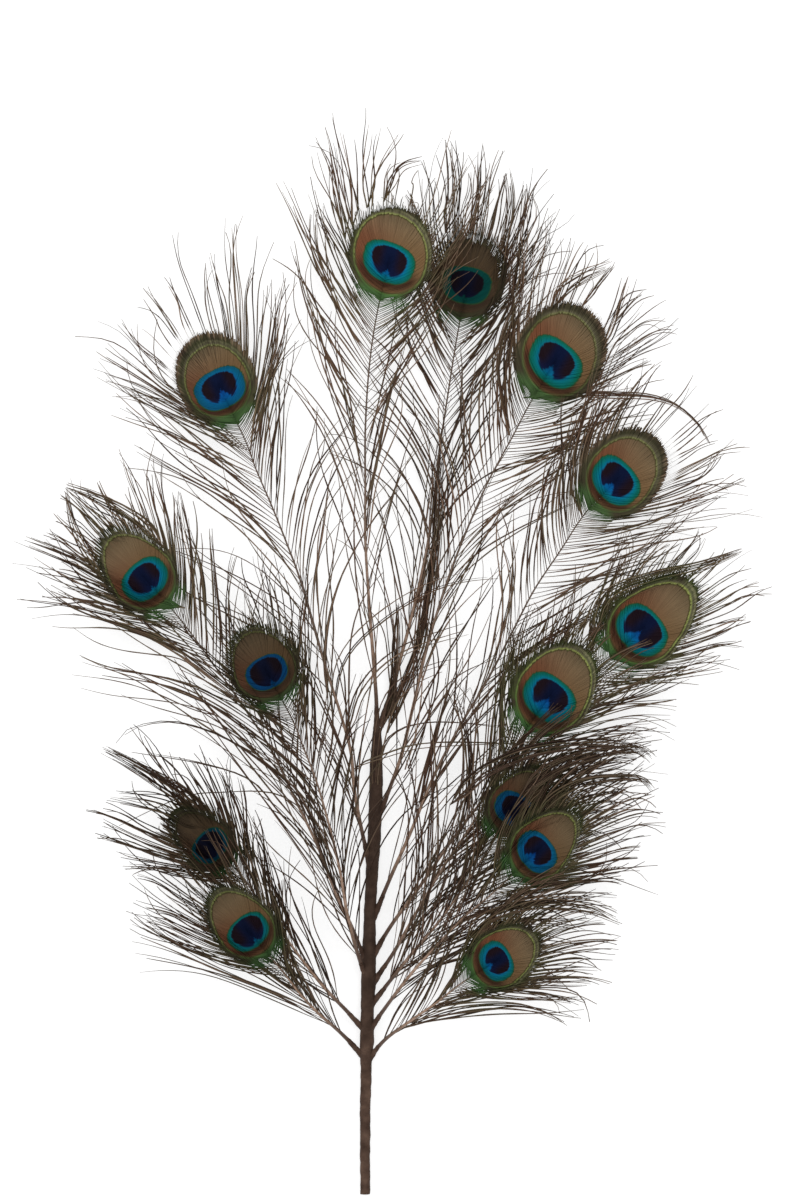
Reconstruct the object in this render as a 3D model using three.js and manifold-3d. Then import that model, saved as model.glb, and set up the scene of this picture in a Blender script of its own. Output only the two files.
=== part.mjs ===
// A spray of fourteen peacock feathers bound to one stem with brown florist's tape, lying on its back.
// Millimetres, +Z up. The surface it lies on is z = 0, +Y runs up the stem towards the top feather, +X is
// to the right, and the origin is under the middle of the spray's outline.
// Each feather is one solid: its shaft, the closed disc of its eye, and its vane, gathered into locks.
import * as THREE from "three";
import { mergeVertices } from "three/addons/utils/BufferGeometryUtils.js";
import Module from "manifold-3d";

const wasm = await Module();
wasm.setup();

// Driving dimensions.
const VANE_THICKNESS = 0.9; // a lock or an eye disc, top to bottom
const QUILL_RADIUS = 1.6; // a shaft where it leaves its tape, corner to middle
const SHAFT_END_RADIUS = 0.9; // and where it runs into its eye
const SHAFT_SIDES = 4;
const SHAFT_STEP = 22; // distance between the sections of a shaft
const SHAFT_STOP = 0.5; // a shaft ends this far short of the middle of its eye, in half widths of the ring
const STUB_LENGTH = 16; // how far up a quill the tape goes, from the middle of the stem
const STUB_RADIUS = 1.9;
const STUB_END_RADIUS = 1.55;
const STUB_SIDES = 6;
const STUB_STEPS = 1;
const TAPE_GAP = 0.3; // between the tape's end and the bare quill
const CLIMB = 45; // how far from the stem a feather has reached its own level
const MIDDLE = new THREE.Vector2(0, 20); // the spray is deepest here, and flattens outwards
const FLATTEN = { from: 110, over: 190, keep: 0.55 }; // keep: the share of its height left at the rim
const LOCK_BELLY = 1.9; // half width of a lock half way along
const LOCK_STEPS = 12; // straight steps that a lock's bend is worked out in
const FIRST_LOCK = 0.3; // where a side's first lock stands, as a share of the space of one lock
const DEGREE = Math.PI / 180;

// The stem, from its cut end to its tip: [x, y, radius]. Its lowest line lies on the surface throughout.
const STEM = [
  [-18.2, -298.7, 2.7],
  [-18.2, -255.0, 2.9],
  [-17.6, -226.0, 3.1],
  [-17.3, -215.0, 4.0],
  [-16.9, -197.0, 3.6],
  [-16.5, -183.0, 4.1],
  [-16.1, -166.0, 4.1],
  [-15.8, -152.0, 3.4],
  [-14.9, -129.0, 3.3],
  [-13.6, -108.0, 3.7],
  [-12.6, -88.0, 3.7],
  [-12.1, -66.0, 3.8],
  [-11.8, -50.0, 2.9],
  [-11.6, -37.0, 2.1],
];
const STEM_SIDES = 10;

// The feathers. level: height of the feather over the surface, clear of the stem. ring: half width of the
// eye's blue ring. route: the shaft in plan, from the middle of the stem to the middle of the ring.
// first: how far along the shaft the vane starts. left, right: a side's barbs, with the angle off the shaft
// that they leave at, the angle that they end at, their length, and how many locks they gather into.
// fringe: the same for the barbs past the eye, at its two sides and at its top, each [angle off the eye's
// own line that they end at, length]. rests: how far out a feather comes down to the surface.
const FEATHERS = [
  {
    name: "feather_top", level: 16, ring: 14.3, first: 62,
    route: [
      [-12, -44], [-12, -25], [-14, 3], [-16, 30], [-18, 63], [-18, 91], [-18, 124],
      [-16, 157], [-12, 186], [-5, 217],
    ],
    left: { launch: 46, tip: 14, reach: 88, locks: 6 },
    right: { launch: 44, tip: 20, reach: 80, locks: 6 },
    fringe: { left: [-38, 76], top: [-10, 50], right: [14, 68] },
  },
  {
    name: "feather_right_1", level: 5, ring: 13.2, first: 62,
    route: [
      [-10, -40], [-2, -14], [7, 19], [15, 54], [20, 85], [23, 113], [27, 140],
      [32, 172], [38, 205],
    ],
    left: { launch: 42, tip: 10, reach: 70, locks: 6 },
    right: { launch: 40, tip: 6, reach: 84, locks: 6 },
    fringe: { left: [-14, 60], top: [-4, 52], right: [14, 66] },
  },
  {
    name: "feather_right_2", level: 10.5, ring: 15.5, first: 66,
    route: [
      [-12, -93], [-5, -75], [2, -55], [8, -30], [15, 0], [24, 31], [34, 59],
      [49, 94], [63, 120], [73, 139], [87, 162],
    ],
    left: { launch: 42, tip: 6, reach: 90, locks: 7 },
    right: { launch: 55, tip: 28, reach: 84, locks: 7 },
    fringe: { left: [-20, 80], top: [6, 36], right: [30, 60] },
    rests: { from: 90, over: 38 },
  },
  {
    name: "feather_right_3", level: 21, ring: 14.2, first: 62,
    route: [
      [-14, -147], [-3, -120], [8, -95], [19, -68], [33, -41], [49, -14], [63, 13],
      [75, 36], [89, 57], [103, 78], [120, 96],
    ],
    left: { launch: 42, tip: 10, reach: 80, locks: 7 },
    right: { launch: 50, tip: 26, reach: 88, locks: 7 },
    fringe: { left: [-10, 55], top: [6, 40], right: [28, 70] },
  },
  {
    name: "feather_right_4", level: 26, ring: 14.5, first: 62,
    route: [
      [-15, -169], [-3, -148], [12, -127], [30, -101], [51, -74], [72, -50], [92, -26],
      [111, -7], [134, 14],
    ],
    left: { launch: 42, tip: 14, reach: 78, locks: 7 },
    right: { launch: 46, tip: 34, reach: 72, locks: 7 },
    fringe: { left: [-12, 52], top: [7, 38], right: [25, 60] },
  },
  {
    name: "feather_right_5", level: 31, ring: 15.0, first: 55,
    route: [
      [-15, -184], [-3, -165], [9, -143], [23, -119], [37, -98], [51, -76], [61, -59],
      [69, -43], [83, -23],
    ],
    left: { launch: 38, tip: 5, reach: 80, locks: 6 },
    right: { launch: 50, tip: 46, reach: 88, locks: 6 },
    fringe: { left: [-15, 55], top: [10, 40], right: [52, 72] },
  },
  {
    name: "feather_right_6", level: 36, ring: 11.5, first: 55,
    route: [
      [-16, -196], [-6, -182], [8, -163], [23, -145], [37, -125], [50, -105], [64, -84],
    ],
    left: { launch: 32, tip: -16, reach: 76, locks: 5 },
    right: { launch: 34, tip: 24, reach: 60, locks: 5 },
    fringe: { left: [0, 48], top: [34, 50], right: [36, 60] },
  },
  {
    name: "feather_right_7", level: 41, ring: 12.0, first: 52,
    route: [
      [-18, -212], [-8, -196], [5, -177], [19, -161], [35, -144], [48, -133], [58, -124],
      [76, -107],
    ],
    left: { launch: 30, tip: -10, reach: 72, locks: 5 },
    right: { launch: 34, tip: 22, reach: 76, locks: 5 },
    fringe: { left: [6, 48], top: [25, 48], right: [34, 56] },
  },
  {
    name: "feather_right_8", level: 46, ring: 11.0, first: 40,
    route: [
      [-19, -229], [-8, -213], [7, -200], [21, -190], [35, -179], [54, -167],
    ],
    left: { launch: 30, tip: -16, reach: 68, locks: 4 },
    right: { launch: 30, tip: 32, reach: 74, locks: 4 },
    fringe: { left: [26, 64], top: [30, 46], right: [38, 56] },
  },
  {
    name: "feather_left_1", level: 21, ring: 14.2, first: 66,
    route: [
      [-15, -119], [-20, -97], [-24, -74], [-26, -53], [-32, -31], [-40, -6], [-47, 18],
      [-54, 42], [-61, 61], [-69, 81], [-78, 102], [-84, 118], [-98, 147],
    ],
    left: { launch: 40, tip: 30, reach: 100, locks: 7 },
    right: { launch: 38, tip: 14, reach: 88, locks: 7 },
    fringe: { left: [-38, 68], top: [4, 62], right: [28, 80] },
    rests: { from: 94, over: 44 },
  },
  {
    name: "feather_left_2", level: 26, ring: 13.2, first: 62,
    route: [
      [-16, -176], [-25, -151], [-34, -131], [-44, -105], [-56, -80], [-69, -53], [-85, -28],
      [-102, -4], [-119, 19], [-139, 42],
    ],
    left: { launch: 26, tip: 34, reach: 100, locks: 7 },
    right: { launch: 36, tip: 28, reach: 78, locks: 7 },
    fringe: { left: [-30, 60], top: [0, 40], right: [26, 66] },
  },
  {
    name: "feather_left_3", level: 31, ring: 11.5, first: 58,
    route: [
      [-16, -185], [-23, -162], [-28, -141], [-32, -117], [-38, -92], [-45, -68], [-52, -50],
      [-58, -35], [-72, -9],
    ],
    left: { launch: 34, tip: 24, reach: 62, locks: 6 },
    right: { launch: 28, tip: 8, reach: 72, locks: 6 },
    fringe: { left: [-28, 46], top: [4, 38], right: [26, 54] },
  },
  {
    name: "feather_left_4", level: 36, ring: 10.5, first: 48,
    route: [
      [-17, -210], [-28, -197], [-40, -183], [-54, -165], [-67, -147], [-77, -133], [-87, -119],
      [-103, -104],
    ],
    left: { launch: 22, tip: 12, reach: 66, locks: 5 },
    right: { launch: 30, tip: 20, reach: 62, locks: 5 },
    fringe: { left: [-20, 62], top: [0, 58], right: [20, 50] },
  },
  {
    name: "feather_left_5", level: 41, ring: 11.8, first: 40,
    route: [
      [-18, -224], [-32, -208], [-44, -196], [-54, -185], [-64, -172], [-82, -151],
    ],
    left: { launch: 22, tip: 0, reach: 84, locks: 4 },
    right: { launch: 30, tip: 24, reach: 60, locks: 4 },
    fringe: { left: [-18, 64], top: [-10, 42], right: [34, 42] },
  },
];

// The eye, in half widths of its blue ring, measured from the ring's middle along the shaft's own line.
const EYE = { halfWidth: 1.6, below: -2.0, above: 2.35, widen: 0.16 };
const EYE_POINTS = 14;
const FRINGE_LOCKS = 7;
const FRINGE_SPREAD = 124; // degrees round the eye from its top to the last lock of the fringe
const FRINGE_LAUNCH = 52; // degrees off the eye's own line that the last lock leaves at
const FRINGE_ROOT = 0.9; // where the fringe's locks start, as a share of the way out to the eye's edge
const FRINGE_BELLY = 1.6;

const smooth = (t) => {
  const c = Math.min(1, Math.max(0, t));
  return c * c * (3 - 2 * c);
};

// A unit vector in plan from a heading in radians, measured from +Y towards +X.
const headed = (heading) => new THREE.Vector2(Math.sin(heading), Math.cos(heading));

// The shaft in plan: a smooth curve through the route, read by distance from the middle of the stem.
function shaftOf(feather) {
  const points = feather.route.map(([x, y]) => new THREE.Vector3(x, y, 0));
  const curve = new THREE.CatmullRomCurve3(points, false, "catmullrom", 0.5);
  curve.arcLengthDivisions = 400;
  const length = curve.getLength();
  const at = (s) => {
    const p = curve.getPointAt(Math.min(1, Math.max(0, s / length)));
    return new THREE.Vector2(p.x, p.y);
  };
  const heading = (s) => {
    const t = curve.getTangentAt(Math.min(1, Math.max(0, s / length)));
    return Math.atan2(t.x, t.y);
  };
  return { at, heading, length };
}

// Height of a feather over the surface at a place in plan. It climbs from the stem to its level, and the
// whole spray flattens outwards. Feathers that rest on the surface come down to it at their outer tips.
function heightOf(feather) {
  const foot = new THREE.Vector2(...feather.route[0]);
  const stemHeight = stemHeightAt(foot.y);
  return (p) => {
    const climbed = stemHeight + (feather.level - stemHeight) * smooth(p.distanceTo(foot) / CLIMB);
    const outwards = smooth((p.distanceTo(MIDDLE) - FLATTEN.from) / FLATTEN.over);
    let z = climbed * (1 - (1 - FLATTEN.keep) * outwards);
    if (feather.rests) z *= 1 - smooth((Math.abs(p.x) - feather.rests.from) / feather.rests.over);
    return Math.max(z, VANE_THICKNESS / 2);
  };
}

// A flat prism of a closed outline in plan, as thick as the vane, as a manifold-3d solid.
function prism(outline) {
  const shape = new THREE.Shape(outline);
  return solid(new THREE.ExtrudeGeometry(shape, { depth: VANE_THICKNESS, bevelEnabled: false }));
}

// A lock of barbs, flat and pointed at both ends: it leaves its root at one heading, turns evenly to
// another, and is widest half way.
function lock(root, fromHeading, toHeading, reach, girth = LOCK_BELLY) {
  const step = reach / LOCK_STEPS;
  const line = [root.clone()];
  for (let i = 0; i < LOCK_STEPS; i++) {
    const heading = fromHeading + ((toHeading - fromHeading) * (i + 0.5)) / LOCK_STEPS;
    line.push(line[i].clone().addScaledVector(headed(heading), step));
  }
  const middle = line[LOCK_STEPS / 2];
  const across = headed((fromHeading + toHeading + Math.PI) / 2).multiplyScalar(girth);
  return prism([root, middle.clone().add(across), line[LOCK_STEPS], middle.clone().sub(across)]);
}

// The locks of one side of the vane.
function sideLocks(feather, shaft, side) {
  const barbs = side > 0 ? feather.right : feather.left;
  const last = shaft.length + EYE.below * feather.ring;
  return Array.from({ length: barbs.locks }, (_, i) => {
    const s = feather.first + ((last - feather.first) * (i + FIRST_LOCK)) / barbs.locks;
    const from = shaft.heading(s) + side * barbs.launch * DEGREE;
    const to = shaft.heading(s) + side * barbs.tip * DEGREE;
    return lock(shaft.at(s), from, to, barbs.reach);
  });
}

// The eye's disc with the fringe of locks past it. Its edge is an egg, broader towards its top.
function eyeParts(feather, shaft) {
  const heading = shaft.heading(shaft.length);
  const forward = headed(heading);
  const rightward = headed(heading + Math.PI / 2);
  const middle = ((EYE.above + EYE.below) / 2) * feather.ring;
  const long = ((EYE.above - EYE.below) / 2) * feather.ring;
  const inEgg = (angle, share) => {
    const wide = EYE.halfWidth * feather.ring * (1 + EYE.widen * Math.cos(angle));
    return shaft
      .at(shaft.length)
      .addScaledVector(forward, middle + share * long * Math.cos(angle))
      .addScaledVector(rightward, share * wide * Math.sin(angle));
  };
  const turns = Array.from({ length: EYE_POINTS }, (_, i) => (i * 2 * Math.PI) / EYE_POINTS);
  const parts = [prism(turns.map((angle) => inEgg(-angle, 1)))];
  for (let i = 0; i < FRINGE_LOCKS; i++) {
    const spread = (2 * i) / (FRINGE_LOCKS - 1) - 1;
    const { top, left, right } = feather.fringe;
    const [sideTip, sideReach] = spread > 0 ? right : left;
    const tip = top[0] + (sideTip - top[0]) * Math.abs(spread);
    const reach = top[1] + (sideReach - top[1]) * Math.abs(spread);
    const root = inEgg(spread * FRINGE_SPREAD * DEGREE, FRINGE_ROOT);
    const from = heading + spread * FRINGE_LAUNCH * DEGREE;
    parts.push(lock(root, from, heading + tip * DEGREE, reach, FRINGE_BELLY));
  }
  return parts;
}

// A closed mesh as a manifold-3d solid.
function solid(geometry) {
  geometry.deleteAttribute("normal");
  geometry.deleteAttribute("uv");
  const merged = mergeVertices(geometry, 1e-4);
  return new wasm.Manifold(
    new wasm.Mesh({
      numProp: 3,
      vertProperties: new Float32Array(merged.getAttribute("position").array),
      triVerts: new Uint32Array(merged.index.array),
    }),
  );
}

function geometryOf(manifold) {
  const mesh = manifold.getMesh();
  const geometry = new THREE.BufferGeometry();
  geometry.setAttribute("position", new THREE.BufferAttribute(mesh.vertProperties, 3));
  geometry.setIndex(new THREE.BufferAttribute(mesh.triVerts, 1));
  return geometry;
}

// A closed tube through sections, each { centre, radius, heading }, that stand upright across the heading.
// With an even number of sides it is flat underneath.
function tube(sections, sides) {
  const positions = [];
  const index = [];
  for (const { centre, radius, heading } of sections)
    for (let k = 0; k < sides; k++) {
      const turn = ((k + 0.5) * 2 * Math.PI) / sides;
      const across = headed(heading + Math.PI / 2).multiplyScalar(radius * Math.sin(turn));
      positions.push(centre.x + across.x, centre.y + across.y, centre.z - radius * Math.cos(turn));
    }
  const last = (sections.length - 1) * sides;
  for (let i = 0; i < sections.length - 1; i++)
    for (let k = 0; k < sides; k++) {
      const a = i * sides + k;
      const b = i * sides + ((k + 1) % sides);
      index.push(a, a + sides, b, b, a + sides, b + sides);
    }
  for (let k = 1; k < sides - 1; k++) {
    index.push(0, k, k + 1);
    index.push(last, last + k + 1, last + k);
  }
  const geometry = new THREE.BufferGeometry();
  geometry.setAttribute("position", new THREE.BufferAttribute(new Float32Array(positions), 3));
  geometry.setIndex(index);
  return geometry;
}

// The sections of a feather's shaft between two distances from the middle of the stem, with a radius that
// changes evenly from one end to the other.
function shaftSections(shaft, height, [from, startRadius], [to, endRadius], steps) {
  return Array.from({ length: steps + 1 }, (_, i) => {
    const s = from + ((to - from) * i) / steps;
    const p = shaft.at(s);
    return {
      centre: new THREE.Vector3(p.x, p.y, height(p)),
      radius: startRadius + ((endRadius - startRadius) * i) / steps,
      heading: shaft.heading(s),
    };
  });
}

// The vane: locks and eye are joined while they are flat, and laid at the feather's own height.
function vane(feather, shaft, height) {
  const parts = [
    ...eyeParts(feather, shaft),
    ...sideLocks(feather, shaft, 1),
    ...sideLocks(feather, shaft, -1),
  ];
  const mesh = parts.reduce((joined, part) => joined.add(part)).getMesh();
  const positions = mesh.vertProperties;
  for (let i = 0; i < positions.length; i += 3)
    positions[i + 2] += height(new THREE.Vector2(positions[i], positions[i + 1])) - VANE_THICKNESS / 2;
  return new wasm.Manifold(mesh);
}

// One feather. Its shaft has four flat sides, and its locks grow from the two upright ones.
function featherSolid(feather) {
  const shaft = shaftOf(feather);
  const height = heightOf(feather);
  const start = STUB_LENGTH + TAPE_GAP;
  const end = shaft.length - SHAFT_STOP * feather.ring;
  const steps = Math.round((end - start) / SHAFT_STEP);
  const sections = shaftSections(shaft, height, [start, QUILL_RADIUS], [end, SHAFT_END_RADIUS], steps);
  return solid(tube(sections, SHAFT_SIDES)).add(vane(feather, shaft, height));
}

// The height of the stem's middle line beside a place in plan. The stem lies on the surface, so this is
// also the distance from its middle line to its lowest face.
function stemHeightAt(y) {
  const upright = Math.cos(Math.PI / STEM_SIDES);
  for (let i = 1; i < STEM.length; i++)
    if (y <= STEM[i][1] || i === STEM.length - 1) {
      const [, y0, r0] = STEM[i - 1];
      const [, y1, r1] = STEM[i];
      const t = Math.min(1, Math.max(0, (y - y0) / (y1 - y0)));
      return (r0 + (r1 - r0) * t) * upright;
    }
}

// The tape-wrapped stem, with the taped foot of every quill.
function stemSolid() {
  const sections = STEM.map(([x, y, radius], i) => {
    const [x0, y0] = STEM[Math.max(0, i - 1)];
    const [x1, y1] = STEM[Math.min(STEM.length - 1, i + 1)];
    const centre = new THREE.Vector3(x, y, radius * Math.cos(Math.PI / STEM_SIDES));
    return { centre, radius, heading: Math.atan2(x1 - x0, y1 - y0) };
  });
  let stem = solid(tube(sections, STEM_SIDES));
  for (const feather of FEATHERS) {
    const shaft = shaftOf(feather);
    const height = heightOf(feather);
    const stub = shaftSections(shaft, height, [0, STUB_RADIUS], [STUB_LENGTH, STUB_END_RADIUS], STUB_STEPS);
    stem = stem.add(solid(tube(stub, STUB_SIDES)));
  }
  return stem;
}

const tapeMaterial = new THREE.MeshStandardMaterial({ color: 0x4a3630, roughness: 0.85, metalness: 0 });
const featherMaterial = new THREE.MeshStandardMaterial({ color: 0x4b4334, roughness: 0.6, metalness: 0.1 });

const spray = new THREE.Group();

const stem = new THREE.Mesh(geometryOf(stemSolid()), tapeMaterial);
stem.name = "stem";
spray.add(stem);

for (const feather of FEATHERS) {
  const mesh = new THREE.Mesh(geometryOf(featherSolid(feather)), featherMaterial);
  mesh.name = feather.name;
  spray.add(mesh);
}

export default spray;
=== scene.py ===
import math
from functools import partialmethod
import bpy
import numpy as np
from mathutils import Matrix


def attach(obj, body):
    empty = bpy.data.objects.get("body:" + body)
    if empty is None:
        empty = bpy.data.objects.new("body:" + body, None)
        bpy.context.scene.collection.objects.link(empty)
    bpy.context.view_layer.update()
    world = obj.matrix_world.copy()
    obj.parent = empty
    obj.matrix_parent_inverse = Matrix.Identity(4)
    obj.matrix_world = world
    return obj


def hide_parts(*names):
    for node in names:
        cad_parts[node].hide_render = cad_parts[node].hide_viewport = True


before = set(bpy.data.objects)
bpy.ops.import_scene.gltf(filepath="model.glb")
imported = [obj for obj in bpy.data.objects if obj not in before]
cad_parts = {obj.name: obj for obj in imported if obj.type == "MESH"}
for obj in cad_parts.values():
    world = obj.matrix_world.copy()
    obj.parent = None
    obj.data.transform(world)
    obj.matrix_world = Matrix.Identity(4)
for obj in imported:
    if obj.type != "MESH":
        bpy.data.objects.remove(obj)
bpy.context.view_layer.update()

MM = 0.001
DEGREE = math.pi / 180
rng = np.random.default_rng(1417)

# The stem, from its cut end to its tip: x, y, radius, in millimetres.
STEM = np.array([
    (-18.2, -298.7, 2.7), (-18.2, -255.0, 2.9), (-17.6, -226.0, 3.1), (-17.3, -215.0, 4.0),
    (-16.9, -197.0, 3.6), (-16.5, -183.0, 4.1), (-16.1, -166.0, 4.1), (-15.8, -152.0, 3.4),
    (-14.9, -129.0, 3.3), (-13.6, -108.0, 3.7), (-12.6, -88.0, 3.7), (-12.1, -66.0, 3.8),
    (-11.8, -50.0, 2.9), (-11.6, -37.0, 2.1),
])

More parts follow.
